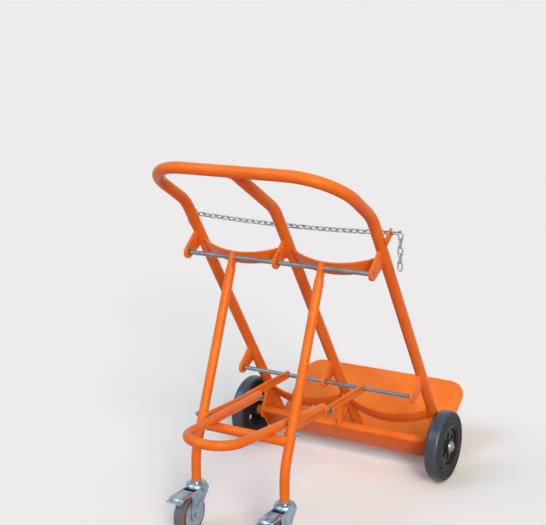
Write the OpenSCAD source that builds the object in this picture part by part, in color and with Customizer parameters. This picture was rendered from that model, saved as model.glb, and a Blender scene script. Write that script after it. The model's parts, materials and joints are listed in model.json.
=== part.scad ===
// Trolley for two gas cylinders, leaning back on a folding stand with castors.
// Millimetres, +Z up, X from left to right, +Y towards the foot plate.
// The origin lies on the floor below the middle of the trolley's outline.
// Frame coordinates start at the axle: z runs up along the uprights, y to the front.

/* [Frame] */
// Lean of the frame from upright while it stands on its castors, in degrees
tilt = 33.6; // [30:0.1:37]
// Outside diameter of the frame tube
tube_d = 30; // [26:0.5:34]
// Wall of the frame tube
tube_wall = 2.5; // [2:0.1:4]
// Distance between the centres of the side uprights
upright_gap = 540; // [500:1:580]
// Distance of the uprights in front of the axle
upright_y = 65; // [60:1:75]
// Height above the axle where the uprights start to bend
bend_start = 789.5; // [770:0.5:830]
// Angle by which the handle leans back from the uprights, in degrees
handle_bend = 25; // [15:0.5:35]
// Straight length between the bend and the handle's corner
handle_len = 75.5; // [50:0.5:110]
// Radius of the two handle corners
handle_corner_r = 127; // [90:1:150]
// Radius of the bends between uprights and handle
handle_bend_r = 120; // [90:1:150]

/* [Cradle bands] */
// Height of the flat strip
band_h = 40; // [30:1:50]
// Thickness of the flat strip
band_t = 5; // [3:0.5:8]
// Depth of each band behind the uprights
band_sag = 45; // [35:1:50]
// Height of the upper bands above the axle
upper_band_z = 668; // [640:1:690]
// Height of the lower bands above the axle
lower_band_z = 60; // [55:1:75]

/* [Pivot lugs and rods] */
// Diameter of the two pivot rods
rod_d = 12; // [10:0.5:14]
// Distance of the rods behind the axle line
rod_back = 7; // [2:1:14]
// Height of the upper rod above the axle
upper_rod_z = 695; // [680:1:710]
// Height of the lower rod above the axle
lower_rod_z = 215; // [200:1:230]
// Thickness of the lugs
lug_t = 8; // [5:0.5:10]
// Radius of the rounded lug end
lug_r = 17; // [14:0.5:20]
// Half height of a lug where it meets the tube
lug_root = 25; // [20:1:32]

/* [Base] */
// Height of the axle beam
beam_h = 70; // [55:1:75]
// Depth of its top flange
beam_flange = 20; // [16:1:24]
// Sheet thickness of the beam
beam_t = 4; // [3:0.5:5]
// Distance of the beam's rear face behind the axle
beam_back = 18; // [16:1:22]
// Height of the beam's top face above the axle
beam_top = 21; // [18:1:26]
// Distance from the axle down to the top of the foot plate
foot_drop = 93; // [90:0.5:94]
// Thickness of the foot plate
foot_t = 5; // [4:0.5:6]
// Width of the foot plate
foot_w = 544; // [520:1:560]
// Distance from the axle to the plate's front edge
foot_front = 295; // [270:1:320]
// Distance from the axle to the plate's rear edge
foot_back = 46; // [40:1:50]
// Radius of the plate's front corners
foot_corner_r = 60; // [30:1:90]
// Height of the centre gusset above the beam
gusset_h = 84; // [70:1:100]
// Thickness of the gusset
gusset_t = 6; // [4:0.5:8]

/* [Main wheels] */
// Wheel diameter
wheel_d = 200; // [190:1:210]
// Tyre width
tyre_w = 42; // [36:1:46]
// Radius where the tyre sits on the rim
rim_r = 60; // [56:1:64]
// Distance of each wheel's middle from the trolley's middle
wheel_x = 313; // [310:1:330]
// Length of the wheel hub
hub_l = 42; // [40:1:46]
// Axle diameter
axle_d = 20; // [16:1:22]
// Number of round openings in the rim
rim_holes = 6; // [4:1:8]
// Diameter of those openings
rim_hole_d = 18; // [14:1:20]

/* [Stand] */
// Outside diameter of leg and cross tubes
leg_d = 25; // [22:0.5:28]
// Wall of those tubes
leg_wall = 2; // [1.5:0.1:3]
// Distance of each leg from the trolley's middle
leg_x = 130; // [124:1:140]
// Distance of the castor stems behind the axle
stem_back = 584; // [560:1:610]
// Height above the floor where the legs start to bend
leg_bend_z = 167.5; // [150:0.5:180]
// Radius of the leg bend
leg_bend_r = 180; // [120:1:220]
// Thickness of the flattened leg end around the rod
leg_eye_t = 12; // [10:0.5:16]
// Distance of the stay bolt below the upper rod, along the leg
stay_bolt_down = 413; // [405:1:420]
// Diameter of the stay bolts
stay_bolt_d = 8; // [6:0.5:10]

/* [Stays and pedal] */
// Width of the upper stays
upper_stay_w = 24; // [20:1:26]
// Width of the lower stays
lower_stay_w = 22; // [20:1:24]
// Thickness of the stays
stay_t = 5; // [4:0.5:6]
// Depth of the knee below the straight line between the stay ends
knee_drop = 4; // [2:0.5:8]
// Diameter of the knee pins
knee_d = 10; // [8:0.5:12]
// Outside diameter of the pedal tube
loop_d = 25; // [22:0.5:26]
// Straight length at the rear of the pedal
loop_rear_len = 12; // [6:1:40]
// Reach of the pedal behind the knees
loop_reach = 411; // [380:1:440]
// Radius of the pedal's rear corners
loop_corner_r = 66; // [50:1:68]

/* [Castors] */
// Height of the castor head above its wheel
castor_head_h = 30; // [28:1:36]
// Diameter of a castor wheel
castor_wheel_d = 100; // [95:1:105]
// Width of a castor wheel
castor_wheel_w = 30; // [26:1:31]
// Distance of the castor axle behind the swivel axis
castor_trail = 36; // [35:0.5:38]
// Diameter of the swivel head
castor_head_d = 56; // [50:1:58]
// Thickness of the fork plates
fork_t = 3; // [2:0.5:4]
// Reach of the brake pedal behind the swivel axis
brake_reach = 114; // [105:1:120]

/* [Chain] */
// Wire diameter of the links
wire_d = 4; // [3:0.5:4.5]
// Wanted distance from link to link
chain_pitch = 19; // [16:0.5:24]
// Inner width of a link
link_inner_w = 7; // [6:0.5:9]
// Height of the chain above the axle
chain_z = 740; // [725:1:760]
// Distance of the chain in front of the uprights
chain_front = 31; // [28:1:36]
// Sag of the strand in its middle
chain_sag = 9; // [4:0.5:12]
// Number of links in the loose tail
tail_links = 5; // [3:1:7]

/* [Fits] */
// Gap at welded seams
weld_gap = 0.05; // [0.02:0.01:0.1]
// Radial clearance of pins and rods in their bores
pin_fit = 0.08; // [0.04:0.01:0.1]
// Side clearance between parts that move past each other
side_gap = 0.4; // [0.3:0.1:0.6]

/* [Hidden] */
$fn = 48;

orange = "#e8601c";
steel = "#a9adb1";
zinc = "#b9c2c9";
black = "#26282b";
grey = "#55565a";
red_brown = "#8c3020";

LEFT = -1;
RIGHT = 1;
eps = 0.5;
// A bend of a tube is a hair thicker than its straights, which run a little way into it
lap = 1;
swell = 0.12;
function straight(d) = d - 2 * swell;
upright_x = upright_gap / 2;
axle_z = wheel_d / 2;
castor_h = castor_wheel_d + castor_head_h;
foot_z = -foot_drop;

// Frame coordinates [y, z] seen from the floor, as [y, z]
function world(p) = [p[0] * cos(tilt) - p[1] * sin(tilt), axle_z + p[0] * sin(tilt) + p[1] * cos(tilt)];

// Places in the side view, as [y, z]
upper_rod_at = world([-rod_back, upper_rod_z]);
lower_rod_at = world([-rod_back, lower_rod_z]);
// The leg leaves its bend along the line that meets the upper rod
leg_bend_at = [leg_bend_r - stem_back, leg_bend_z];
leg_reach = upper_rod_at - leg_bend_at;
leg_len = sqrt(pow(norm(leg_reach), 2) - pow(leg_bend_r, 2));
leg_lean = acos(-leg_bend_r / norm(leg_reach)) - atan2(leg_reach[1], leg_reach[0]);
leg_down = [-sin(leg_lean), -cos(leg_lean)];
stay_bolt_at = upper_rod_at + stay_bolt_down * leg_down;
// The cross tube passes just below the rounded ends of the lower stays
cross_down = stay_bolt_down + (lower_stay_w + leg_d) / 2 + side_gap;
cross_at = upper_rod_at + cross_down * leg_down;

// The knee hangs a little below the line from the lower rod to the stay bolt
stay_line = stay_bolt_at - lower_rod_at;
stay_dir = stay_line / norm(stay_line);
stay_len = norm([norm(stay_line) / 2, knee_drop]);
knee_at = (lower_rod_at + stay_bolt_at) / 2 + knee_drop * [-stay_dir[1], stay_dir[0]];
upper_stay_dir = knee_at - lower_rod_at;
lower_stay_dir = stay_bolt_at - knee_at;

// Side by side at the knee: pedal arm, lower stay, upper stay, bolt head
// The lower stay lies on the leg's inner side
lower_stay_x = leg_x - leg_d / 2 - side_gap - stay_t;
upper_stay_x = lower_stay_x + stay_t + side_gap;
// The arm's outer side runs from the corner to its tip beside the lower stay
loop_tip = 14;
loop_corner = [loop_rear_len / 2, loop_corner_r - loop_reach];
loop_outer_r = loop_corner_r + loop_d / 2;
loop_span = [lower_stay_x - side_gap, loop_tip] - loop_corner;
loop_arm_len = sqrt(pow(norm(loop_span), 2) - pow(loop_outer_r, 2));
loop_arm_lean = acos(loop_outer_r / norm(loop_span)) - atan2(loop_span[1], loop_span[0]);
loop_front_x = lower_stay_x - side_gap - loop_tip * tan(loop_arm_lean) - loop_d / 2 / cos(loop_arm_lean);

// The pedal arms rest on the cross tube
loop_to_cross = cross_at - knee_at;
loop_pitch = atan2(loop_to_cross[1], -loop_to_cross[0])
  + asin((leg_d / 2 + loop_d / 2 + side_gap) / norm(loop_to_cross));

// The outline's front and rear ends set the origin
front_y = world([foot_front, foot_z - foot_t])[0];
rear_y = knee_at[0] - loop_reach * cos(loop_pitch) - loop_d / 2;
origin_y = (front_y + rear_y) / 2;

// Chain: links on a shallow arc between the two slotted tabs
tab_t = 5;
tab_x = upright_x + tube_d / 2 + weld_gap;
chain_y = upright_y + chain_front;
chain_half = tab_x + tab_t + side_gap + wire_d + chain_pitch / 2;
chain_steps = 2 * ceil(chain_half / chain_pitch);
link_step = 2 * chain_half / chain_steps;
link_slack = 0.5;
link_inner_l = link_step + link_slack;
tail_lift = 1.1;
tail_hang = link_inner_l / 2 - wire_d / 2 - tail_lift;

// Main wheel and hub places along the axle
hub_in = wheel_x - hub_l / 2;
hub_out = wheel_x + hub_l / 2;
washer_t = 2;
bush_r = 14.5;
cap_r = 16;
cap_h = 10;
bracket_out = upright_x + lug_t / 2;

module placed() { translate([0, -origin_y, 0]) children(); }
module in_frame() { placed() translate([0, 0, axle_z]) rotate([tilt, 0, 0]) children(); }
// Extrudes a side outline drawn as [y, z] across x, centred at x
module across(x, t) { translate([x, 0, 0]) rotate([90, 0, 90]) translate([0, 0, -t / 2]) linear_extrude(t) children(); }
module x_rod(d, x0, x1) { translate([x0, 0, 0]) rotate([0, 90, 0]) cylinder(d = d, h = x1 - x0); }
module at(p) { translate([0, p[0], p[1]]) children(); }
module both_sides() { children(); mirror([1, 0, 0]) children(); }
module turned_on_x(x) { translate([x, 0, 0]) rotate([0, 90, 0]) rotate_extrude() children(); }

// Frame: handle and side uprights are one bent tube
module past_bend() {
  translate([0, upright_y - handle_bend_r, bend_start]) rotate([handle_bend, 0, 0])
    translate([0, handle_bend_r, 0]) children();
}
module upright_path(x, d, foot) {
  translate([x, upright_y, foot]) cylinder(d = straight(d), h = bend_start + lap - foot);
  translate([x, upright_y - handle_bend_r, bend_start]) rotate([90, 0, 90])
    rotate_extrude(angle = handle_bend) translate([handle_bend_r, 0]) circle(d = d);
}
module frame_path(d, foot) {
  both_sides() {
    upright_path(upright_x, d, foot);
    past_bend() {
      translate([upright_x, 0, -lap]) cylinder(d = straight(d), h = handle_len + 2 * lap);
      translate([upright_x - handle_corner_r, 0, handle_len]) rotate([90, 0, 0])
        rotate_extrude(angle = 90) translate([handle_corner_r, 0]) circle(d = d);
    }
  }
  grip_half = upright_x - handle_corner_r + lap;
  past_bend() translate([0, 0, handle_len + handle_corner_r]) x_rod(straight(d), -grip_half, grip_half);
}
module main_tube() color(orange) in_frame() difference() {
  frame_path(tube_d, foot_z);
  frame_path(tube_d - 2 * tube_wall, foot_z - eps);
}

module centre_path(d, foot) {
  upright_path(0, d, foot);
  past_bend() translate([0, 0, -lap]) cylinder(d = straight(d), h = handle_len + handle_corner_r);
}
module centre_upright() color(orange) in_frame() difference() {
  centre_path(tube_d, foot_z);
  centre_path(tube_d - 2 * tube_wall, foot_z - eps);
  past_bend() translate([0, 0, handle_len + handle_corner_r]) x_rod(tube_d + 2 * weld_gap, -tube_d, tube_d);
}
// Room that the three upright tubes take, for what is welded to them
module upright_room() {
  for (x = [-upright_x, 0, upright_x])
    translate([x, upright_y, foot_z - eps]) cylinder(d = tube_d + 2 * weld_gap, h = bend_start - foot_z);
}

// Cradle bands: flat strips bent round the back of each bay
band_r = (pow(upright_gap / 4, 2) + pow(band_sag, 2)) / (2 * band_sag);
band_turn = asin(upright_gap / 4 / band_r);
module band(side, z) color(orange) in_frame() difference() {
  translate([side * upright_gap / 4, upright_y - band_sag + band_r, z]) rotate([0, 0, -90 - band_turn])
    rotate_extrude(angle = 2 * band_turn, $fn = 96) translate([band_r - band_t / 2, -band_h / 2])
      square([band_t, band_h]);
  upright_room();
}
module upper_band_left() band(LEFT, upper_band_z);
module upper_band_right() band(RIGHT, upper_band_z);
module lower_band_left() band(LEFT, lower_band_z);
module lower_band_right() band(RIGHT, lower_band_z);

// Pivot lugs: flat bars with a rounded end, one row for each rod
module lug_row(z) color(orange) in_frame() difference() {
  for (x = [-upright_x, 0, upright_x]) translate([0, 0, z]) across(x, lug_t) {
    translate([-rod_back, 0]) circle(r = lug_r);
    polygon([[-rod_back, lug_r], [-rod_back, -lug_r], [upright_y, -lug_root], [upright_y, lug_root]]);
  }
  translate([0, -rod_back, z]) x_rod(rod_d + 2 * pin_fit, -upright_gap, upright_gap);
  upright_room();
}
module upper_lugs() lug_row(upper_rod_z);
module lower_lugs() lug_row(lower_rod_z);

// Base: folded axle beam, gusset, brackets and foot plate
beam_fold_r = 7;
module beam_outline() {
  translate([-beam_back, beam_top - beam_h]) square([beam_t, beam_h - beam_fold_r]);
  translate([beam_fold_r - beam_back, beam_top - beam_t]) square([beam_flange - beam_fold_r, beam_t]);
  translate([beam_fold_r - beam_back, beam_top - beam_fold_r]) intersection() {
    difference() {
      circle(r = beam_fold_r);
      circle(r = beam_fold_r - beam_t);
    }
    translate([-beam_fold_r, 0]) square(beam_fold_r);
  }
}
beam_half = upright_x - lug_t / 2 - weld_gap;
module axle_beam() color(orange) in_frame() across(0, 2 * beam_half) beam_outline();

gusset_rib = 17;
gusset_foot = 11;
gusset_tab = [16, 4, 14];
module centre_gusset() color(orange) in_frame() {
  low = beam_top + weld_gap;
  back = beam_back + weld_gap + gusset_tab[1];
  tube_back = upright_y - tube_d / 2;
  slope = (gusset_h - gusset_foot) / (upright_y + back);
  hole_front = tube_back - gusset_rib / 2;
  hole_low = low + gusset_rib / 2;
  hole_h = gusset_h - slope * (upright_y - hole_front) - 2 * gusset_rib;
  difference() {
    across(0, gusset_t) polygon([[-back, low], [-back, low + gusset_foot],
      [upright_y, low + gusset_h], [upright_y, low]]);
    across(0, gusset_t + 2 * eps) polygon([[hole_front, hole_low],
      [hole_front, hole_low + hole_h], [hole_front - hole_h / slope, hole_low]]);
    upright_room();
  }
  translate([-gusset_tab[0] / 2, -back, low - gusset_tab[2]])
    cube([gusset_tab[0], gusset_tab[1], gusset_tab[2] + gusset_foot]);
}

bracket_r = 24;
bracket_root = [62, -72];
bracket_hole = [37, -26];
bracket_hole_d = 9;
module axle_brackets() color(orange) in_frame() difference() {
  for (side = [LEFT, RIGHT]) across(side * upright_x, lug_t) {
    circle(r = bracket_r);
    polygon([[0, bracket_r], [0, -bracket_r], [upright_y, bracket_root[1]], [upright_y, bracket_root[0]]]);
  }
  x_rod(axle_d + 2 * pin_fit, -upright_gap, upright_gap);
  at(bracket_hole) x_rod(bracket_hole_d, -upright_gap, upright_gap);
  upright_room();
}

module foot_plate() color(orange) in_frame() translate([0, 0, foot_z - foot_t]) linear_extrude(foot_t) {
  half = foot_w / 2;
  translate([-half, foot_back]) square([foot_w, foot_front - foot_corner_r - foot_back]);
  translate([foot_corner_r - half, foot_back]) square([foot_w - 2 * foot_corner_r, foot_front - foot_back]);
  for (side = [LEFT, RIGHT])
    translate([side * (half - foot_corner_r), foot_front - foot_corner_r]) circle(r = foot_corner_r);
}

// Axle with its sleeves, washers and domed hub caps
cap_grip = 5;
module axle() color(steel) placed() translate([0, 0, axle_z])
  x_rod(axle_d, -hub_out - cap_grip, hub_out + cap_grip);
module axle_ring(r, x0, x1) {
  both_sides() translate([0, 0, axle_z]) difference() {
    x_rod(2 * r, x0, x1);
    x_rod(axle_d + 2 * pin_fit, x0 - eps, x1 + eps);
  }
}
module axle_sleeves() color(orange) placed()
  axle_ring(bush_r, bracket_out + weld_gap, hub_in - washer_t - 2 * side_gap);
module axle_washers() color(steel) placed()
  axle_ring(bush_r + 2, hub_in - washer_t - side_gap, hub_in - side_gap);
module hub_caps() color(zinc) placed() both_sides() translate([0, 0, axle_z]) difference() {
  turned_on_x(hub_out + side_gap) {
    dome_r = (cap_r * cap_r + cap_h * cap_h) / (2 * cap_h);
    intersection() {
      translate([0, cap_h - dome_r]) circle(r = dome_r, $fn = 96);
      square([cap_r, cap_h]);
    }
  }
  x_rod(axle_d + 2 * pin_fit, hub_out, hub_out + cap_grip + pin_fit);
}

// Main wheels: solid tyre on a rim with round openings
tyre_edge_r = 12;
tyre_grooves = [68, 80];
groove_w = 3;
groove_t = 1.5;
module wheel_at(side) { placed() translate([side * wheel_x, 0, axle_z]) children(); }
module tyre(side) color(black) wheel_at(side) rotate([0, 90, 0]) rotate_extrude($fn = 96) difference() {
  r = wheel_d / 2;
  half = tyre_w / 2;
  union() {
    translate([rim_r, -half]) square([r - tyre_edge_r - rim_r, tyre_w]);
    translate([rim_r, tyre_edge_r - half]) square([r - rim_r, tyre_w - 2 * tyre_edge_r]);
    for (z = [tyre_edge_r - half, half - tyre_edge_r]) translate([r - tyre_edge_r, z]) circle(r = tyre_edge_r);
  }
  for (at_r = tyre_grooves, z = [-half - eps, half - groove_t])
    translate([at_r, z]) square([groove_w, groove_t + eps]);
}
rim_lip = 7;
rim_half = tyre_w / 2 - 2;
rim_web = 5;
rim_dish = 6;
hub_r = 21;
// The web lies near the outer face, so each wheel is deep on its inner side
module rim(side) color(grey) wheel_at(side) mirror([side > 0 ? 0 : 1, 0, 0]) difference() {
  rotate([0, 90, 0]) rotate_extrude($fn = 96) {
    translate([rim_r - rim_lip, -rim_half]) square([rim_lip - weld_gap, 2 * rim_half]);
    translate([bush_r + weld_gap, rim_half - rim_dish - rim_web]) square([rim_r - rim_lip / 2 - bush_r, rim_web]);
    translate([bush_r + weld_gap, -hub_l / 2]) square([hub_r - bush_r, hub_l]);
  }
  for (i = [0 : rim_holes - 1]) rotate([360 / rim_holes * i, 0, 0])
    translate([0, 0, -(hub_r + rim_hole_d / 2 + 2)]) x_rod(rim_hole_d, -tyre_w, tyre_w);
}
module bush(side) color(grey) wheel_at(side) difference() {
  x_rod(2 * bush_r, -hub_l / 2, hub_l / 2);
  x_rod(axle_d + 2 * pin_fit, -hub_l, hub_l);
}
module tyre_left() tyre(LEFT);
module tyre_right() tyre(RIGHT);
module rim_left() rim(LEFT);
module rim_right() rim(RIGHT);
module bush_left() bush(LEFT);
module bush_right() bush(RIGHT);

// Stand: each leg is straight, bends to upright and ends in a castor
// Length and slope of the end that is pressed flat round the rod
leg_eye_run = 46;
leg_eye_r = 14;
module past_leg_bend(side) {
  translate([side * leg_x, leg_bend_at[0], leg_bend_at[1]]) rotate([-leg_lean, 0, 0])
    translate([0, -leg_bend_r, 0]) children();
}
module leg_bend(side, d, low) {
  translate([side * leg_x, -stem_back, low]) cylinder(d = straight(d), h = leg_bend_z + lap - low);
  translate([side * leg_x, leg_bend_at[0], leg_bend_at[1]]) rotate([90, 0, 90]) rotate([0, 0, 180 - leg_lean])
    rotate_extrude(angle = leg_lean, $fn = 96) translate([leg_bend_r, 0]) circle(d = d);
}
// Straight part, pressed flat and rounded at its upper end
module leg_top(side) past_leg_bend(side) intersection() {
  wide = leg_d / 2 + 1;
  low = -2 * lap;
  press = leg_len - leg_eye_run;
  top = leg_len + leg_d;
  translate([0, 0, -lap]) cylinder(d = straight(leg_d), h = top + lap);
  rotate([90, 0, 0]) translate([0, 0, -leg_d]) linear_extrude(2 * leg_d)
    polygon([[-wide, low], [wide, low], [wide, press], [leg_eye_t / 2, press + leg_eye_run / 2],
      [leg_eye_t / 2, top], [-leg_eye_t / 2, top], [-leg_eye_t / 2, press + leg_eye_run / 2], [-wide, press]]);
  across(0, 2 * leg_d) {
    translate([-leg_d, low]) square([2 * leg_d, leg_len - low]);
    translate([0, leg_len]) circle(r = leg_eye_r);
  }
}
module leg(side) color(orange) placed() difference() {
  bore = leg_d - 2 * leg_wall;
  union() {
    leg_bend(side, leg_d, castor_h);
    leg_top(side);
  }
  leg_bend(side, bore, castor_h - eps);
  past_leg_bend(side) translate([0, 0, -lap]) cylinder(d = straight(bore), h = leg_len - leg_eye_run);
  at(upper_rod_at) x_rod(rod_d + 2 * weld_gap, -upright_gap, upright_gap);
  at(stay_bolt_at) x_rod(stay_bolt_d + 2 * pin_fit, -upright_gap, upright_gap);
}
module leg_left() leg(LEFT);
module leg_right() leg(RIGHT);
module cross_tube() color(orange) placed() difference() {
  at(cross_at) x_rod(leg_d, -leg_x, leg_x);
  at(cross_at) x_rod(leg_d - 2 * leg_wall, -leg_x, leg_x);
  for (side = [LEFT, RIGHT]) past_leg_bend(side) cylinder(d = leg_d + 2 * weld_gap, h = leg_len);
}
// Rods end in the outer lugs, with a clip on each lug's inner side
clip_t = 2;
clip_x = upright_x - lug_t / 2 - side_gap - clip_t;
rod_half = bracket_out - 1;
module rod(p) color(steel) placed() at(p) x_rod(rod_d, -rod_half, rod_half);
module rod_clips(p) color(steel) placed() at(p) both_sides() difference() {
  x_rod(rod_d + 4, clip_x, clip_x + clip_t);
  x_rod(rod_d + 2 * weld_gap, clip_x - eps, clip_x + clip_t + eps);
}
module upper_rod() rod(upper_rod_at);
module lower_rod() rod(lower_rod_at);
module upper_rod_clips() rod_clips(upper_rod_at);
module lower_rod_clips() rod_clips(lower_rod_at);

// Bolt through lower stay and leg, with its nut on the leg's outer side
bolt_head_h = 6;
module stay_bolts() color(zinc) placed() at(stay_bolt_at) both_sides() {
  head_x = lower_stay_x - side_gap - bolt_head_h;
  nut_x = leg_x + leg_d / 2 + weld_gap;
  x_rod(stay_bolt_d, head_x + eps, nut_x + bolt_head_h + 3);
  translate([head_x, 0, 0]) rotate([0, 90, 0]) cylinder(d = 1.8 * stay_bolt_d, h = bolt_head_h, $fn = 6);
  translate([nut_x, 0, 0]) rotate([0, 90, 0]) cylinder(d = 1.8 * stay_bolt_d, h = bolt_head_h, $fn = 6);
}

// Stays: flat bars from the lower rod over the knee to the stay bolt
function turn_of(d) = atan2(d[1], d[0]);
module bar_outline(len, w) {
  translate([0, -w / 2]) square([len, w]);
  circle(d = w);
  translate([len, 0]) circle(d = w);
}
// Stands a bar drawn along its length in the side view: length, width, then x
module along(p, d) { at(p) rotate([turn_of(d), 0, 0]) rotate([90, 0, 90]) children(); }
module upper_stay(side) color(orange) placed() difference() {
  along(lower_rod_at, upper_stay_dir)
    translate([0, 0, side > 0 ? upper_stay_x : -upper_stay_x - stay_t]) linear_extrude(stay_t)
      bar_outline(stay_len, upper_stay_w);
  at(lower_rod_at) x_rod(rod_d + 2 * weld_gap, -upright_gap, upright_gap);
  at(knee_at) x_rod(knee_d + 2 * weld_gap, -upright_gap, upright_gap);
}
module upper_stay_left() upper_stay(LEFT);
module upper_stay_right() upper_stay(RIGHT);

module lower_stay(side) color(orange) placed() difference() {
  along(knee_at, lower_stay_dir)
    translate([0, 0, side > 0 ? lower_stay_x : -lower_stay_x - stay_t]) linear_extrude(stay_t)
      bar_outline(stay_len, lower_stay_w);
  at(knee_at) x_rod(knee_d + 2 * weld_gap, -upright_gap, upright_gap);
  at(stay_bolt_at) x_rod(stay_bolt_d + 2 * pin_fit, -upright_gap, upright_gap);
}
module lower_stay_left() lower_stay(LEFT);
module lower_stay_right() lower_stay(RIGHT);

// Knee: the inner pin carries pedal and lower stay, the outer bolt sits in the upper stay
knee_head_h = 6;
module knee_bolts() color(zinc) placed() at(knee_at) both_sides() {
  x_rod(knee_d, upper_stay_x, upper_stay_x + stay_t + side_gap);
  translate([upper_stay_x + stay_t + weld_gap, 0, 0]) rotate([0, 90, 0])
    cylinder(d = 1.7 * knee_d, h = knee_head_h, $fn = 6);
}
module knee_pins() color(zinc) placed() at(knee_at) both_sides() {
  head_x = loop_front_x - loop_d / 2 - 3;
  x_rod(knee_d, head_x - knee_head_h, lower_stay_x + stay_t);
  translate([head_x - knee_head_h, 0, 0]) rotate([0, 90, 0])
    cylinder(d = 1.7 * knee_d, h = knee_head_h - side_gap, $fn = 6);
}

// Pedal: a tapering loop of tube whose arms end at the knees
module in_loop() { at(knee_at) rotate([-loop_pitch, 0, 0]) children(); }
module loop_path(d, arm_end) {
  both_sides() translate([loop_corner[0], loop_corner[1], 0]) {
    rotate([0, 0, -90]) rotate_extrude(angle = 90 - loop_arm_lean, $fn = 96)
      translate([loop_corner_r, 0]) circle(d = d);
    rotate([0, 0, -loop_arm_lean]) translate([loop_corner_r, -lap, 0]) rotate([-90, 0, 0])
      cylinder(d = straight(d), h = loop_arm_len + arm_end + lap);
  }
  translate([0, -loop_reach, 0]) x_rod(straight(d), -loop_corner[0] - lap, loop_corner[0] + lap);
}
module pedal_loop() color(orange) placed() difference() {
  in_loop() difference() {
    loop_path(loop_d, 0);
    loop_path(loop_d - 2 * leg_wall, -3 * loop_tip);
  }
  at(knee_at) x_rod(knee_d + 2 * pin_fit, -upright_gap, upright_gap);
}

// Castors: plated fork under a swivel head, wheel behind the swivel axis
castor_axle_z = castor_wheel_d / 2;
castor_axle = [-castor_trail, castor_axle_z];
fork_in = castor_wheel_w / 2 + 2;
head_low = castor_wheel_d + 2;
head_top = castor_h - 6;
kingpin_d = 12;
castor_bolt_d = 8;
brake_pin_at = [-castor_trail - 4, head_low + 5];
brake_pin_d = 5;
module castor_at(side) { placed() translate([side * leg_x, -stem_back, 0]) children(); }
module castor_stems() color(zinc) for (side = [LEFT, RIGHT]) castor_at(side) {
  nut_h = 6;
  plug_h = leg_bend_z - castor_h - 2;
  translate([0, 0, castor_h - eps]) cylinder(d = straight(leg_d - 2 * leg_wall) - 2 * pin_fit, h = plug_h + eps);
  translate([0, 0, head_top + side_gap]) cylinder(d = leg_d + 4, h = castor_h - head_top - side_gap - weld_gap);
  translate([0, 0, head_low - nut_h - side_gap]) cylinder(d = kingpin_d, h = castor_h - head_low + nut_h);
  translate([0, 0, head_low - nut_h - side_gap]) cylinder(d = kingpin_d + 6, h = nut_h, $fn = 6);
}
head_edge_r = 10;
fork_eye_r = 16;
module fork_outline() {
  head_r = castor_head_d / 2;
  translate(castor_axle) circle(r = fork_eye_r);
  polygon([[head_r - 3, head_low + 10], [head_r - 2, head_low], [castor_axle[0] + 12.5, castor_axle_z - 10],
    [castor_axle[0] - 15.5, castor_axle_z + 4], [brake_pin_at[0] - 8, brake_pin_at[1] - 7],
    [brake_pin_at[0] - 8, brake_pin_at[1] + 6], [0, brake_pin_at[1] + 6]]);
}
module castor_fork(side) color(zinc) castor_at(side) difference() {
  union() {
    rotate_extrude() {
      r = castor_head_d / 2;
      translate([0, head_low]) square([r, head_top - head_edge_r - head_low]);
      translate([0, head_low]) square([r - head_edge_r, head_top - head_low]);
      translate([r - head_edge_r, head_top - head_edge_r]) circle(r = head_edge_r);
    }
    both_sides() across(fork_in + fork_t / 2, fork_t) fork_outline();
    at(brake_pin_at) x_rod(brake_pin_d, -fork_in - fork_t, fork_in + fork_t);
  }
  translate([0, 0, head_low - eps]) cylinder(d = kingpin_d + 2 * pin_fit, h = head_top);
  at(castor_axle) x_rod(castor_bolt_d + 2 * weld_gap, -leg_x, leg_x);
}
module castor_fork_left() castor_fork(LEFT);
module castor_fork_right() castor_fork(RIGHT);

module castor_axle_bolt(side) color(zinc) castor_at(side) at(castor_axle) {
  out = fork_in + fork_t + weld_gap;
  head_h = 5;
  x_rod(castor_bolt_d, -out - head_h - 2, out + head_h);
  both_sides() translate([out, 0, 0]) rotate([0, 90, 0]) cylinder(d = 1.8 * castor_bolt_d, h = head_h, $fn = 6);
}
module castor_axle_left() castor_axle_bolt(LEFT);
module castor_axle_right() castor_axle_bolt(RIGHT);

tread_t = 4;
core_r = castor_wheel_d / 2 - tread_t;
core_hub_r = 15;
core_web = 10;
module castor_core(side) color(red_brown) castor_at(side) at(castor_axle) rotate([0, 90, 0]) rotate_extrude($fn = 96) {
  bore = castor_bolt_d / 2 + pin_fit;
  half = castor_wheel_w / 2;
  translate([bore, -fork_in + side_gap]) square([core_hub_r - bore, 2 * (fork_in - side_gap)]);
  translate([bore, -core_web / 2]) square([core_r - bore - 1, core_web]);
  translate([core_r - 8, -half]) square([8, 2 * half]);
}
module castor_core_left() castor_core(LEFT);
module castor_core_right() castor_core(RIGHT);

tread_edge_r = 2;
module castor_tread(side) color(grey) castor_at(side) at(castor_axle) rotate([0, 90, 0]) rotate_extrude($fn = 96) {
  r = castor_wheel_d / 2;
  half = castor_wheel_w / 2;
  fit = 3 * weld_gap;
  translate([core_r + fit, -half]) square([tread_t - fit - tread_edge_r, 2 * half]);
  translate([core_r + fit, tread_edge_r - half]) square([tread_t - fit, 2 * (half - tread_edge_r)]);
  for (z = [tread_edge_r - half, half - tread_edge_r]) translate([r - tread_edge_r, z]) circle(r = tread_edge_r);
}
module castor_tread_left() castor_tread(LEFT);
module castor_tread_right() castor_tread(RIGHT);

// Thread guards: plated discs fixed to the insides of the fork, beside the wheel
guard_r = 40;
module castor_guard(side) color(zinc) castor_at(side) at(castor_axle) both_sides() difference() {
  inner = castor_wheel_w / 2 + side_gap;
  outer = fork_in - weld_gap;
  x_rod(2 * guard_r, inner, outer);
  x_rod(2 * (core_hub_r + side_gap), inner - eps, outer + eps);
}
module castor_guard_left() castor_guard(LEFT);
module castor_guard_right() castor_guard(RIGHT);

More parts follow.
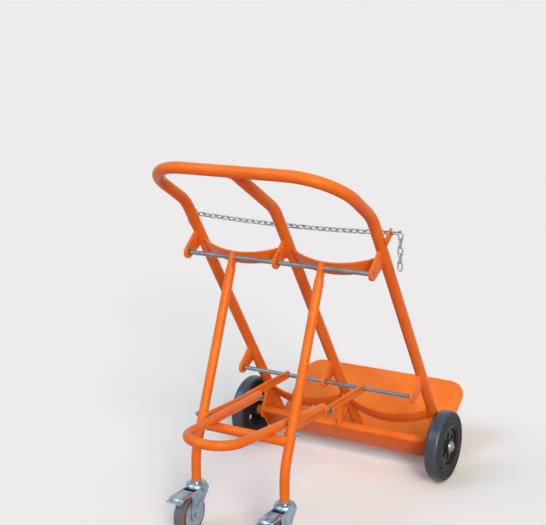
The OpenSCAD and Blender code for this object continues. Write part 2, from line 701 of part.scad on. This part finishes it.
// Brake pedal: stepped plate on a pin between the fork plates
brake_t = 3;
brake_half_w = 24;
brake_drop = 6;
module brake_pedal(side) color(zinc) castor_at(side) difference() {
  top = brake_pin_at[1] + 5;
  front = brake_pin_at[0] - 2;
  wide_from = brake_pin_at[0] - 12;
  step_at = -brake_reach + 16;
  neck = 2 * (fork_in - side_gap);
  union() {
    across(0, neck) {
      translate(brake_pin_at) circle(d = brake_pin_d + 6);
      polygon([[front, top], [front - 16, top - 3], [front - 16, top - 3 - brake_t - brake_drop],
        [front - 4, top - brake_t - brake_drop], [front, brake_pin_at[1] - 3]]);
    }
    across(0, 2 * brake_half_w) polygon([[wide_from, top - 2], [step_at, top - 9], [step_at - 3, top - 9 - brake_drop],
      [-brake_reach, top - 12 - brake_drop], [-brake_reach, top - 12 - brake_drop - brake_t],
      [step_at - 0.5, top - 9 - brake_drop - brake_t], [step_at + 2.5, top - 9 - brake_t], [wide_from, top - 2 - brake_t]]);
  }
  at(brake_pin_at) x_rod(brake_pin_d + 2 * pin_fit, -leg_x, leg_x);
}
module brake_pedal_left() brake_pedal(LEFT);
module brake_pedal_right() brake_pedal(RIGHT);

// Restraint chain: every second link is turned on edge; the end links bear on the tabs
tail_link_roll = 12;
module link() {
  half = link_inner_l / 2 - link_inner_w / 2;
  r = (link_inner_w + wire_d) / 2;
  for (turn = [0, 180]) rotate([0, 0, turn]) {
    translate([half, 0, 0]) rotate([0, 0, -90]) rotate_extrude(angle = 180) translate([r, 0]) circle(d = wire_d);
    translate([0, r, 0]) x_rod(wire_d, -half, half);
  }
}
// Height of the strand over its lowest point, and its slope, at a distance from the middle
function sag_at(x) = chain_sag * (pow(x / chain_half, 2) - 1);
function sag_slope(x) = atan2(2 * chain_sag * x, chain_half * chain_half);
module chain_frame(x) {
  placed() translate([x, world([chain_y, chain_z])[0], world([chain_y, chain_z])[1] + sag_at(x)]) children();
}
module restraint_chain() color(steel) for (i = [0 : chain_steps]) {
  x = -chain_half + i * link_step;
  // The last link lies flatter, because the loose tail hangs from it
  roll = i == chain_steps ? tail_link_roll : tilt + 90 * (i % 2);
  chain_frame(x) rotate([0, -sag_slope(x), 0]) rotate([roll, 0, 0]) link();
}
module chain_tail() color(steel) for (i = [0 : tail_links - 1])
  chain_frame(chain_half + link_inner_l / 2 + wire_d / 2)
    translate([0, 0, -tail_hang - i * link_step]) rotate([0, 90, 0]) rotate([90 + 90 * (i % 2), 0, 0]) link();

tab_low = 13;
tab_high = 6;
tab_lip = 10;
tab_slot = wire_d + 1.4;
module chain_tabs() color(orange) in_frame() both_sides() {
  slot_low = link_inner_w / 2 + wire_d + 1;
  back = upright_y - tube_d / 3;
  front = chain_y + tab_lip;
  across(tab_x + tab_t / 2, tab_t) difference() {
    translate([back, chain_z - tab_low]) square([front - back, tab_low + tab_high]);
    translate([chain_y - tab_slot / 2, chain_z - slot_low]) square([tab_slot, tab_high + slot_low + eps]);
  }
}

main_tube();
centre_upright();
upper_band_left();
upper_band_right();
lower_band_left();
lower_band_right();
upper_lugs();
lower_lugs();
axle_beam();
foot_plate();
centre_gusset();
axle_brackets();
axle();
axle_sleeves();
axle_washers();
hub_caps();
chain_tabs();
restraint_chain();
tyre_left();
rim_left();
bush_left();
tyre_right();
rim_right();
bush_right();
leg_left();
leg_right();
cross_tube();
upper_rod();
upper_rod_clips();
stay_bolts();
castor_stems();
lower_rod();
lower_rod_clips();
upper_stay_left();
upper_stay_right();
knee_bolts();
lower_stay_left();
lower_stay_right();
knee_pins();
pedal_loop();
castor_fork_left();
castor_axle_left();
castor_guard_left();
castor_core_left();
castor_tread_left();
brake_pedal_left();
castor_fork_right();
castor_axle_right();
castor_guard_right();
castor_core_right();
castor_tread_right();
brake_pedal_right();
chain_tail();
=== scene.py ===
import json
import math

import bmesh
import bpy
from mathutils import Matrix, Vector


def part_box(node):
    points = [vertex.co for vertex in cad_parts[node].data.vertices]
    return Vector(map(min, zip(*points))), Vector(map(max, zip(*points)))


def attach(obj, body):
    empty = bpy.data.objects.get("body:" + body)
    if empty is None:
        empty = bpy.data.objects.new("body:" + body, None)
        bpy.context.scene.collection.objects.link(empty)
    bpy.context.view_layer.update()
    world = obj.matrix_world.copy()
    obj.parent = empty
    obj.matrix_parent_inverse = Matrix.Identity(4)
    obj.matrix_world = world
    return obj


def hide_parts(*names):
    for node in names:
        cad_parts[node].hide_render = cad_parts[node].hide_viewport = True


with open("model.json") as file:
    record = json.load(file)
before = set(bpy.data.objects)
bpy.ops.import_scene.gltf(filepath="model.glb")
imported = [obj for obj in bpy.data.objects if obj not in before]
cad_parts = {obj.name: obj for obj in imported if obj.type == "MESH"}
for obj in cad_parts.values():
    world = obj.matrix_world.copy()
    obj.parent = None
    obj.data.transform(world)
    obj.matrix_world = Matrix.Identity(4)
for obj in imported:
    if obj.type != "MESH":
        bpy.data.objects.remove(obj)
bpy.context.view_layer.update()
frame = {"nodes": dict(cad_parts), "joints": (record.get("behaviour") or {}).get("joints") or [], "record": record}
nodes = frame["nodes"]
body_of_node = {n: b for b, members in frame["record"]["behaviour"]["bodies"].items() for n in members}
joint_at = {j["name"]: Vector(j["pos_m"]) for j in frame["joints"]}

# Sizes from the part's source, in metres
TILT = math.radians(33.6)
TUBE_R, UPRIGHT_X, UPRIGHT_Y = 0.015, 0.270, 0.065
BEND_START, BEND_R, BEND_TURN = 0.7895, 0.120, math.radians(25)
GRIP_RISE = 0.0755 + 0.127
LUG_T, UPPER_ROD_Z, LOWER_ROD_Z, ROD_R = 0.008, 0.695, 0.215, 0.006
BAND_SAG, BAND_T, BAND_H = 0.045, 0.005, 0.040
UPPER_BAND_Z, LOWER_BAND_Z = 0.668, 0.060
BEAM_BACK, BEAM_TOP, BEAM_H, BEAM_FOLD_R, FOOT_Z = 0.018, 0.021, 0.070, 0.007, -0.093
GUSSET_T = 0.006
LEG_R, LEG_X, EYE_T, CROSS_DOWN = 0.0125, 0.130, 0.012, 0.4369
AXLE = joint_at["right_wheel_spin"]

# Sizes of the finish, in metres
EDGE, GRAIN_DEPTH = 0.0009, 0.0006
BEAD_R, SMALL_BEAD_R, RIPPLE = 0.0021, 0.0016, 0.0035

ACROSS, OVERHEAD = Vector((1, 0, 0)), Vector((0, 0, 1))
FRAME_FORWARD = Vector((0, math.cos(TILT), math.sin(TILT)))


def in_frame(x, y, z):
    """A point on the leaning frame: x across, y forward of the axle, z up along the uprights."""
    c, s = math.cos(TILT), math.sin(TILT)
    return Vector((x, AXLE.y + y * c - z * s, AXLE.z + y * s + z * c))


# Materials

def linear(hex_colour):
    """An sRGB hex value as linear RGBA."""
    parts = [int(hex_colour[i:i + 2], 16) / 255 for i in (1, 3, 5)]
    return [c / 12.92 if c <= 0.04045 else ((c + 0.055) / 1.055) ** 2.4 for c in parts] + [1.0]


def add(tree, kind, inputs=None, **settings):
    """Adds a node with its settings; an input is a value or the socket that feeds it."""
    node = tree.nodes.new(kind)
    for name, value in settings.items():
        setattr(node, name, value)
    for name, value in (inputs or {}).items():
        if isinstance(value, bpy.types.NodeSocket):
            tree.links.new(value, node.inputs[name])
        else:
            node.inputs[name].default_value = value
    return node


def calculate(tree, operation, *values):
    """The result of a Math node on the given values."""
    return add(tree, "ShaderNodeMath", dict(enumerate(values)), operation=operation).outputs[0]


def empty_tree(owner):
    """The node tree of a new material or world, with nothing in it."""
    owner.use_nodes = True
    owner.node_tree.nodes.clear()
    return owner.node_tree


def surface(name, colours, patch, grain, rough, bump, metallic=0.0, shine=0.5, tint="#ffffff",
            stretch=(1, 1, 1)):
    """A finish: two colours in patches, and a fine grain in the roughness and the height.

    Patch and grain are sizes in metres."""
    material = bpy.data.materials.new(name)
    tree = empty_tree(material)
    place = add(tree, "ShaderNodeTexCoord").outputs["Object"]
    spread = add(tree, "ShaderNodeMapping", {"Vector": place, "Scale": stretch}).outputs["Vector"]
    broad = add(tree, "ShaderNodeTexNoise",
                {"Vector": place, "Scale": 1 / patch, "Detail": 3.0, "Roughness": 0.55}).outputs["Fac"]
    fine = add(tree, "ShaderNodeTexNoise",
               {"Vector": spread, "Scale": 1 / grain, "Detail": 2.0}).outputs["Fac"]
    shade = add(tree, "ShaderNodeValToRGB", {"Fac": broad})
    for stop, colour, at in zip(shade.color_ramp.elements, colours, (0.32, 0.68)):
        stop.position, stop.color = at, linear(colour)
    polish = add(tree, "ShaderNodeMapRange", {"Value": fine, "From Min": 0.3, "From Max": 0.7,
                                              "To Min": rough[0], "To Max": rough[1]})
    height = add(tree, "ShaderNodeBump", {"Height": fine, "Strength": bump, "Distance": GRAIN_DEPTH})
    shader = add(tree, "ShaderNodeBsdfPrincipled", {
        "Base Color": shade.outputs["Color"], "Roughness": polish.outputs["Result"],
        "Normal": height.outputs["Normal"], "Metallic": metallic,
        "Specular IOR Level": shine, "Specular Tint": linear(tint)})
    add(tree, "ShaderNodeOutputMaterial", {"Surface": shader.outputs["BSDF"]})
    return material


def tread_polish_and_painted_sheen(material, colour, wall, tread, polish):
    """Paints a paler, cool blue-grey sheen onto a road wheel's rubber, and scales its roughness, from its wall's
    end radius to its tread's.
    """
    tree = material.node_tree
    shader = tree.nodes["Principled BSDF"]
    plain, dull = (shader.inputs[name].links[0].from_socket for name in ("Base Color", "Roughness"))
    place = add(tree, "ShaderNodeTexCoord").outputs["Object"]
    axle = (0, AXLE.y, AXLE.z)
    arm = add(tree, "ShaderNodeVectorMath", {0: place, 1: axle}, operation="SUBTRACT").outputs["Vector"]
    flat = add(tree, "ShaderNodeVectorMath", {0: arm, 1: (0, 1, 1)}, operation="MULTIPLY").outputs["Vector"]
    radius = add(tree, "ShaderNodeVectorMath", {0: flat}, operation="LENGTH").outputs["Value"]
    share = add(tree, "ShaderNodeMapRange",
                {"Value": radius, "From Min": wall, "From Max": tread}).outputs["Result"]
    # Painted sheen: the tread's base colour is mixed towards a paler, cool blue-grey
    painted_sheen = add(tree, "ShaderNodeMixRGB", {"Fac": share, "Color1": plain, "Color2": linear(colour)})
    tree.links.new(painted_sheen.outputs["Color"], shader.inputs["Base Color"])
    scale = add(tree, "ShaderNodeMapRange",
                {"Value": share, "To Min": 1.0, "To Max": polish}).outputs["Result"]
    tree.links.new(calculate(tree, "MULTIPLY", dull, scale), shader.inputs["Roughness"])


# Orange powder coat on steel tube: satin gloss over a soft orange peel, drawn at 4 mm so that it shows
POWDER_COAT = surface("orange_powder_coat", ("#e36a1e", "#ec7a2b"), patch=0.12, grain=0.004,
                      rough=(0.27, 0.38), bump=0.08, shine=0.32, tint="#ffd9a0")
# Bright drawn steel: grey with fine lines round the bar
DRAWN_STEEL = surface("drawn_steel", ("#74787b", "#8f9396"), patch=0.05, grain=0.004,
                      rough=(0.36, 0.52), bump=0.12, metallic=1.0, stretch=(4, 0.6, 0.6))
# Galvanised chain: dull silver with small spangle
CHAIN_ZINC = surface("galvanised_chain", ("#8f9498", "#c2c6c9"), patch=0.006, grain=0.002,
                     rough=(0.30, 0.50), bump=0.15, metallic=1.0)
# Blue zinc plate on pressed steel: cool silver, paler in patches
ZINC_PLATE = surface("blue_zinc_plate", ("#869fb3", "#b3c4d0"), patch=0.022, grain=0.003,
                     rough=(0.20, 0.36), bump=0.08, metallic=1.0)
# Pressed steel hub cap: plain grey, lightly polished
CAP_STEEL = surface("pressed_steel_cap", ("#8b8c8c", "#a9aaa9"), patch=0.015, grain=0.003,
                    rough=(0.24, 0.36), bump=0.06, metallic=1.0)
# Moulded rubber tyre: near black walls, and a tread that rolling has polished; the tread's paler, cool blue-grey
# colour is a painted sheen
TYRE_RUBBER = surface("tyre_rubber", ("#0a0c0e", "#14171a"), patch=0.030, grain=0.003,
                      rough=(0.48, 0.62), bump=0.25, shine=0.40)
# The tread colour #3a4855 is a painted cool sheen; the lower roughness there is polish from rolling
tread_polish_and_painted_sheen(TYRE_RUBBER, "#3a4855", wall=0.092, tread=0.0995, polish=0.5)
# Glass-filled nylon rim: dark grey, fine moulded grain
RIM_NYLON = surface("moulded_nylon_rim", ("#1c1e21", "#292c30"), patch=0.025, grain=0.003,
                    rough=(0.36, 0.50), bump=0.15, shine=0.3)
# Natural nylon bush: lighter grey
BUSH_NYLON = surface("nylon_bush", ("#6d7073", "#85888b"), patch=0.010, grain=0.003,
                     rough=(0.40, 0.52), bump=0.10)
# Polyurethane wheel body: glossy red-brown
CORE_PLASTIC = surface("red_brown_polyurethane", ("#7a2413", "#963420"), patch=0.012, grain=0.002,
                       rough=(0.28, 0.40), bump=0.08)
# Grey rubber castor tread: scuffed matte
TREAD_RUBBER = surface("grey_castor_tread", ("#56575a", "#6d6e70"), patch=0.010, grain=0.002,
                       rough=(0.55, 0.70), bump=0.20)

finish_of_slot = {"orange_coat": POWDER_COAT, "bright_steel": DRAWN_STEEL, "chain_steel": CHAIN_ZINC,
                  "zinc_plate": ZINC_PLATE, "tyre_rubber": TYRE_RUBBER, "wheel_rim": RIM_NYLON,
                  "wheel_bush": BUSH_NYLON, "castor_core": CORE_PLASTIC, "castor_tread": TREAD_RUBBER}
slot_of_node = {s["node"]: s["material_slot"] for s in frame["record"]["subparts"]}


def dress(piece, slot):
    piece.data.materials.clear()
    piece.data.materials.append(finish_of_slot[slot])


for name, node in nodes.items():
    dress(node, slot_of_node[name])
nodes["hub_caps"].data.materials[0] = CAP_STEEL


# Plates and bars get the small rounded edges that cut and coated steel has

def linked(name, data):
    """A new object in the scene."""
    thing = bpy.data.objects.new(name, data)
    bpy.context.scene.collection.objects.link(thing)
    return thing


def baked(work):
    """The mesh that a working object's modifiers give; the object itself goes."""
    mesh = bpy.data.meshes.new_from_object(work.evaluated_get(bpy.context.evaluated_depsgraph_get()))
    bpy.data.objects.remove(work)
    return mesh


def shown(name, mesh, body, slot):
    piece = linked(name, mesh)
    dress(piece, slot)
    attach(piece, body)
    return piece


def rounded(node_name, bend=None):
    """Stands in for a CAD node with its sharp edges rounded off, then bent where asked."""
    same_point, same_plane = 2e-6, math.radians(1)
    sharp, shaded_sharp = math.radians(40), math.radians(50)
    shape = bmesh.new()
    shape.from_mesh(nodes[node_name].data)
    bmesh.ops.remove_doubles(shape, verts=shape.verts, dist=same_point)
    bmesh.ops.dissolve_limit(shape, angle_limit=same_plane, verts=shape.verts, edges=shape.edges)
    mesh = bpy.data.meshes.new(node_name + "_rounded")
    shape.to_mesh(mesh)
    shape.free()
    work = linked("work", mesh)
    bevel = work.modifiers.new("edge", "BEVEL")
    bevel.width, bevel.segments = EDGE, 2
    bevel.limit_method, bevel.angle_limit = "ANGLE", sharp
    done = baked(work)
    if bend:
        for vertex in done.vertices:
            bend(vertex.co)
    for polygon in done.polygons:
        polygon.use_smooth = True
    done.set_sharp_from_angle(angle=shaded_sharp)
    piece = shown(node_name + "_rounded", done, body_of_node[node_name], slot_of_node[node_name])
    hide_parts(node_name)


for node_name in ("foot_plate", "axle_beam", "centre_gusset", "axle_brackets", "upper_lugs", "lower_lugs",
                  "upper_band_left", "upper_band_right", "lower_band_left", "lower_band_right",
                  "upper_stay_left", "upper_stay_right", "lower_stay_left", "lower_stay_right",
                  "castor_fork_left", "castor_fork_right"):
    rounded(node_name)


# The brake pedals' pressed steel tongues taper and curl up towards the tip

def curled_up(pin):
    neck, taper, rise, reach = 0.017, 0.55, 0.17, 0.89

    def bend(point):
        behind = pin.y - point.y
        aside = point.x - pin.x
        if behind > 0:
            point.z += behind * rise
            point.y = pin.y - behind * reach
        if abs(aside) > neck:
            point.x = pin.x + math.copysign(neck + (abs(aside) - neck) * taper, aside)
    return bend


for side in ("left", "right"):
    rounded("brake_pedal_" + side, curled_up(joint_at[side + "_brake_press"]))


# The chain tabs reach only a little way behind the line where they touch the tube

def trimmed_behind_tube(point):
    trim = 0.7
    behind = UPRIGHT_Y - (point - AXLE).dot(FRAME_FORWARD)
    if behind > 0:
        point += FRAME_FORWARD * (behind * trim)


rounded("chain_tabs", trimmed_behind_tube)


# Weld beads follow the seams where tubes and plates meet

LUG_BACK = UPRIGHT_Y - math.sqrt(TUBE_R ** 2 - (LUG_T / 2) ** 2)


def frame_line(x, y, z, count=12):
    """A straight seam on the frame; y or z is a pair where the seam runs along it."""
    ys = y if isinstance(y, tuple) else (y, y)
    zs = z if isinstance(z, tuple) else (z, z)
    start, end = (in_frame(x, *at) for at in zip(ys, zs))
    return [start.lerp(end, i / count) for i in range(count + 1)]


def ring(centre, across, up, radius, span=(0, 360), count=32):
    a, b = (math.radians(v) for v in span)
    turns = [a + (b - a) * i / count for i in range(count + 1)]
    return [centre + across * (radius * math.cos(t)) + up * (radius * math.sin(t)) for t in turns]


def saddle(meet, way, axis, across, up, radius):
    """Where a tube that runs one way ends on another of its size, whose axis is given."""
    return [p - way * abs((p - meet).dot(axis)) for p in ring(meet, across, up, radius, count=40)]


def lug_seams(z):
    root = 0.023
    return [frame_line(x + side * LUG_T / 2, LUG_BACK, (z - root, z + root))
            for x in (-UPRIGHT_X, 0.0, UPRIGHT_X) for side in (-1, 1)]


def band_seams(z):
    half = UPRIGHT_X / 2
    radius = (half ** 2 + BAND_SAG ** 2) / (2 * BAND_SAG)
    centre = Vector((half, UPRIGHT_Y - BAND_SAG + radius))
    seams = []
    for tube_x in (0.0, UPRIGHT_X):
        for face in (radius - BAND_T / 2, radius + BAND_T / 2):
            # Where the strip's face meets the tube: two circles, the rear crossing
            gap = Vector((tube_x, UPRIGHT_Y)) - centre
            along = (gap.length_squared + face ** 2 - TUBE_R ** 2) / (2 * gap.length)
            aside = math.sqrt(max(face ** 2 - along ** 2, 0.0))
            way = gap.normalized()
            inward = Vector((-way.y, way.x)) * (1 if tube_x > half else -1)
            meet = centre + way * along - inward * aside
            for side in (-1, 1):
                seams.append(frame_line(side * meet.x, meet.y, (z - BAND_H / 2, z + BAND_H / 2)))
    return seams


def grip_seam():
    """Saddle where the centre upright meets the grip."""
    pivot = in_frame(0, UPRIGHT_Y - BEND_R, BEND_START)
    lean = TILT + BEND_TURN
    forward = Vector((0, math.cos(lean), math.sin(lean)))
    rise = Vector((0, -math.sin(lean), math.cos(lean)))
    return saddle(pivot + forward * BEND_R + rise * GRIP_RISE, rise, ACROSS, ACROSS, forward, TUBE_R)


def foot_seams():
    """Rings round the uprights' feet; the side tubes overhang the plate and get half a ring."""
    return [ring(in_frame(x, UPRIGHT_Y, FOOT_Z), ACROSS, FRAME_FORWARD, TUBE_R, span)
            for x, span in ((0, (0, 360)), (-UPRIGHT_X, (-82, 82)), (UPRIGHT_X, (98, 262)))]


def base_seams():
    bracket = (-0.068, 0.058)
    web, flange = (BEAM_TOP - BEAM_H, BEAM_TOP - BEAM_FOLD_R), (0.006 - BEAM_BACK, 0.002)
    gusset_rise, gusset_run = (0.028, 0.088), (-0.016, 0.001)
    seams = []
    for side in (-1, 1):
        for face in (-1, 1):
            seams.append(frame_line(side * UPRIGHT_X + face * LUG_T / 2, LUG_BACK, bracket))
        end = side * (UPRIGHT_X - LUG_T / 2)
        seams.append(frame_line(end, -BEAM_BACK, web))
        seams.append(frame_line(end, flange, BEAM_TOP, 4))
    for x in (-GUSSET_T / 2, GUSSET_T / 2):
        seams.append(frame_line(x, UPRIGHT_Y - TUBE_R, gusset_rise))
        seams.append(frame_line(x, gusset_run, BEAM_TOP, 4))
    return seams


def rod_ring(x, rod):
    """Round a pivot rod, at the given place along it."""
    return ring(Vector((x, rod.y, rod.z)), Vector((0, 1, 0)), OVERHEAD, ROD_R)


def stand_seams():
    rod = joint_at["stand_fold"]
    down = (joint_at["lower_stay_swing"] - rod).normalized()
    cross = rod + down * CROSS_DOWN
    forward = Vector((0, -down.z, down.y))
    seams = []
    for side in (-1, 1):
        way = ACROSS * side
        seams.append(saddle(cross + way * LEG_X, way, down, forward, -down, LEG_R))
        for face in (-1, 1):
            seams.append(rod_ring(rod.x + side * LEG_X + face * EYE_T / 2, rod))
    return seams


def stay_seams():
    rod = joint_at["upper_stay_swing"]
    boxes = [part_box(name) for name in ("upper_stay_left", "upper_stay_right")]
    return [rod_ring(corner.x, rod) for box in boxes for corner in box]


def bead_tree():
    """Lays a rippled bead along each seam."""
    swing, sides, steps_per_ripple = 0.16, 8, 4.0
    tree = bpy.data.node_groups.new("weld_bead", "GeometryNodeTree")
    face = tree.interface
    face.new_socket("Geometry", in_out="INPUT", socket_type="NodeSocketGeometry")
    for label in ("Bead radius", "Ripple length"):
        face.new_socket(label, in_out="INPUT", socket_type="NodeSocketFloat")
    face.new_socket("Finish", in_out="INPUT", socket_type="NodeSocketMaterial")
    face.new_socket("Geometry", in_out="OUTPUT", socket_type="NodeSocketGeometry")
    given = add(tree, "NodeGroupInput").outputs
    step = calculate(tree, "DIVIDE", given["Ripple length"], steps_per_ripple)
    even = add(tree, "GeometryNodeResampleCurve", {"Curve": given["Geometry"], "Length": step}, mode="LENGTH")
    run = add(tree, "GeometryNodeSplineParameter").outputs["Length"]
    phase = calculate(tree, "DIVIDE", run, given["Ripple length"])
    ripple = calculate(tree, "SINE", calculate(tree, "MULTIPLY", phase, 2 * math.pi))
    swell = calculate(tree, "MULTIPLY_ADD", ripple, swing, 1.0)
    shape = add(tree, "GeometryNodeCurvePrimitiveCircle",
                {"Resolution": sides, "Radius": given["Bead radius"]})
    bead = add(tree, "GeometryNodeCurveToMesh", {
        "Curve": even.outputs["Curve"], "Profile Curve": shape.outputs["Curve"], "Scale": swell,
        "Fill Caps": True})
    smooth = add(tree, "GeometryNodeSetShadeSmooth", {"Geometry": bead.outputs["Mesh"]})
    real = add(tree, "GeometryNodeRealizeInstances", {"Geometry": smooth.outputs["Geometry"]})
    coat = add(tree, "GeometryNodeSetMaterial",
               {"Geometry": real.outputs["Geometry"], "Material": given["Finish"]})
    add(tree, "NodeGroupOutput", {"Geometry": coat.outputs["Geometry"]})
    return tree


BEAD = bead_tree()


def weld(name, seams, body, radius=BEAD_R):
    path = bpy.data.curves.new(name, "CURVE")
    path.dimensions = "3D"
    for seam in seams:
        spline = path.splines.new("POLY")
        spline.points.add(len(seam) - 1)
        for point, p in zip(spline.points, seam):
            point.co = (p.x, p.y, p.z, 1)
    work = linked("work", path)
    lay = work.modifiers.new("bead", "NODES")
    lay.node_group = BEAD
    given = {"Bead radius": radius, "Ripple length": RIPPLE, "Finish": POWDER_COAT}
    for item in BEAD.interface.items_tree:
        if item.name in given:
            lay[item.identifier] = given[item.name]
    shown(name, baked(work), body, "orange_coat")


weld("lug_welds", lug_seams(UPPER_ROD_Z) + lug_seams(LOWER_ROD_Z), "frame")
weld("band_welds", band_seams(UPPER_BAND_Z) + band_seams(LOWER_BAND_Z), "frame")
weld("grip_weld", [grip_seam()], "frame")
weld("base_welds", foot_seams() + base_seams(), "frame")
weld("stand_welds", stand_seams(), "stand")
weld("stay_welds", stay_seams(), "upper_stays", SMALL_BEAD_R)


# Camera at the photograph's viewpoint: angles, the point that it turns about, and the picture in pixels

BEARING, DIP, ROLL = math.radians(30.2503), math.radians(13.0967), math.radians(-0.5338)
AIM, DISTANCE = Vector((0.00276, -0.41132 + AXLE.y, 0.68163)), 2.84722
PICTURE_W, PICTURE_H, FOCAL, CENTRE_ROW = 546, 525, 1126.452, 261.755
SENSOR_MM, FARTHEST = 36, 200

back = Vector((math.sin(BEARING) * math.cos(DIP), -math.cos(BEARING) * math.cos(DIP), math.sin(DIP)))
right = (-back).cross(OVERHEAD).normalized()
up = right.cross(-back)
tilted_right = right * math.cos(ROLL) + up * math.sin(ROLL)
tilted_up = up * math.cos(ROLL) - right * math.sin(ROLL)
lens = bpy.data.cameras.new("camera")
lens.lens = FOCAL / PICTURE_W * SENSOR_MM
lens.sensor_width = SENSOR_MM
lens.shift_y = (CENTRE_ROW - PICTURE_H / 2) / PICTURE_W
lens.clip_end = FARTHEST
camera = linked("camera", lens)
turn = Matrix((tilted_right, tilted_up, back)).transposed().to_4x4()
camera.matrix_world = Matrix.Translation(AIM + back * DISTANCE) @ turn
bpy.context.scene.camera = camera


# Pale studio: a plain floor, two warm lamps by the camera, a cool window on the left and a pale sky

PAPER = "#edebeb"
FLOOR_SEEN, FLOOR_BOUNCE = "#f7f0ea", "#c4804c"
FLOOR_R = 120
SKY, SKY_STRENGTH = "#e8f4ff", 0.88

# Name, way to it (overhead, right of the camera, towards the camera), strength, width in degrees, colour
LAMPS = (("front_softbox", (0.42, 0.17, 0.80), 1.50, 28, "#fffbf4"),
         ("low_softbox", (0.13, 0.17, 0.95), 1.28, 14, "#fff3df"),
         ("left_window", (0.62, -0.68, 0.24), 0.95, 30, "#cfe1ff"))


def looked_at(tree):
    """1 for rays from the camera, reflections and glass, and 0 for the light that surfaces gather."""
    ray = add(tree, "ShaderNodeLightPath").outputs
    direct = calculate(tree, "MAXIMUM", ray["Is Camera Ray"], ray["Is Glossy Ray"])
    return calculate(tree, "MAXIMUM", direct, ray["Is Transmission Ray"])


def studio_floor():
    """Pale to the eye and in reflections; what it throws back up under the orange steel is dull and warm."""
    material = bpy.data.materials.new("pale_floor")
    tree = empty_tree(material)
    bounce = add(tree, "ShaderNodeBsdfDiffuse", {"Color": linear(FLOOR_BOUNCE)})
    pale = add(tree, "ShaderNodeBsdfDiffuse", {"Color": linear(FLOOR_SEEN)})
    either = add(tree, "ShaderNodeMixShader", {0: looked_at(tree), 1: bounce.outputs[0], 2: pale.outputs[0]})
    add(tree, "ShaderNodeOutputMaterial", {"Surface": either.outputs[0]})
    bpy.ops.mesh.primitive_circle_add(vertices=64, radius=FLOOR_R, fill_type="NGON", location=(0, 0, 0))
    floor = bpy.context.object
    floor.name = "floor"
    floor.data.materials.append(material)


def studio_sky():
    """Its light comes mostly from overhead, so that it leaves a soft shadow under the beam."""
    world = bpy.data.worlds.new("studio")
    bpy.context.scene.world = world
    tree = empty_tree(world)
    way = add(tree, "ShaderNodeTexCoord").outputs["Generated"]
    rise = add(tree, "ShaderNodeSeparateXYZ", {0: way}).outputs["Z"]
    level = calculate(tree, "MULTIPLY", calculate(tree, "MULTIPLY", rise, rise), SKY_STRENGTH)
    soft = add(tree, "ShaderNodeBackground", {"Color": linear(SKY), "Strength": level})
    paper = add(tree, "ShaderNodeBackground", {"Color": linear(PAPER), "Strength": 1.0})
    sky = add(tree, "ShaderNodeMixShader", {0: looked_at(tree), 1: soft.outputs[0], 2: paper.outputs[0]})
    add(tree, "ShaderNodeOutputWorld", {"Surface": sky.outputs[0]})


def softbox(name, toward, energy, spread, colour):
    """A wide lamp, far off in the given direction; the spread is its apparent width in degrees."""
    light = bpy.data.lights.new(name, "SUN")
    light.energy = energy
    light.angle = math.radians(spread)
    light.color = linear(colour)[:3]
    lamp = linked(name, light)
    lamp.matrix_world = toward.to_track_quat("Z", "Y").to_matrix().to_4x4()


studio_floor()
studio_sky()
for name, (high_up, to_right, to_camera), energy, spread, colour in LAMPS:
    softbox(name, OVERHEAD * high_up + right * to_right + back * to_camera, energy, spread, colour)
bpy.context.scene.view_settings.view_transform = "Standard"
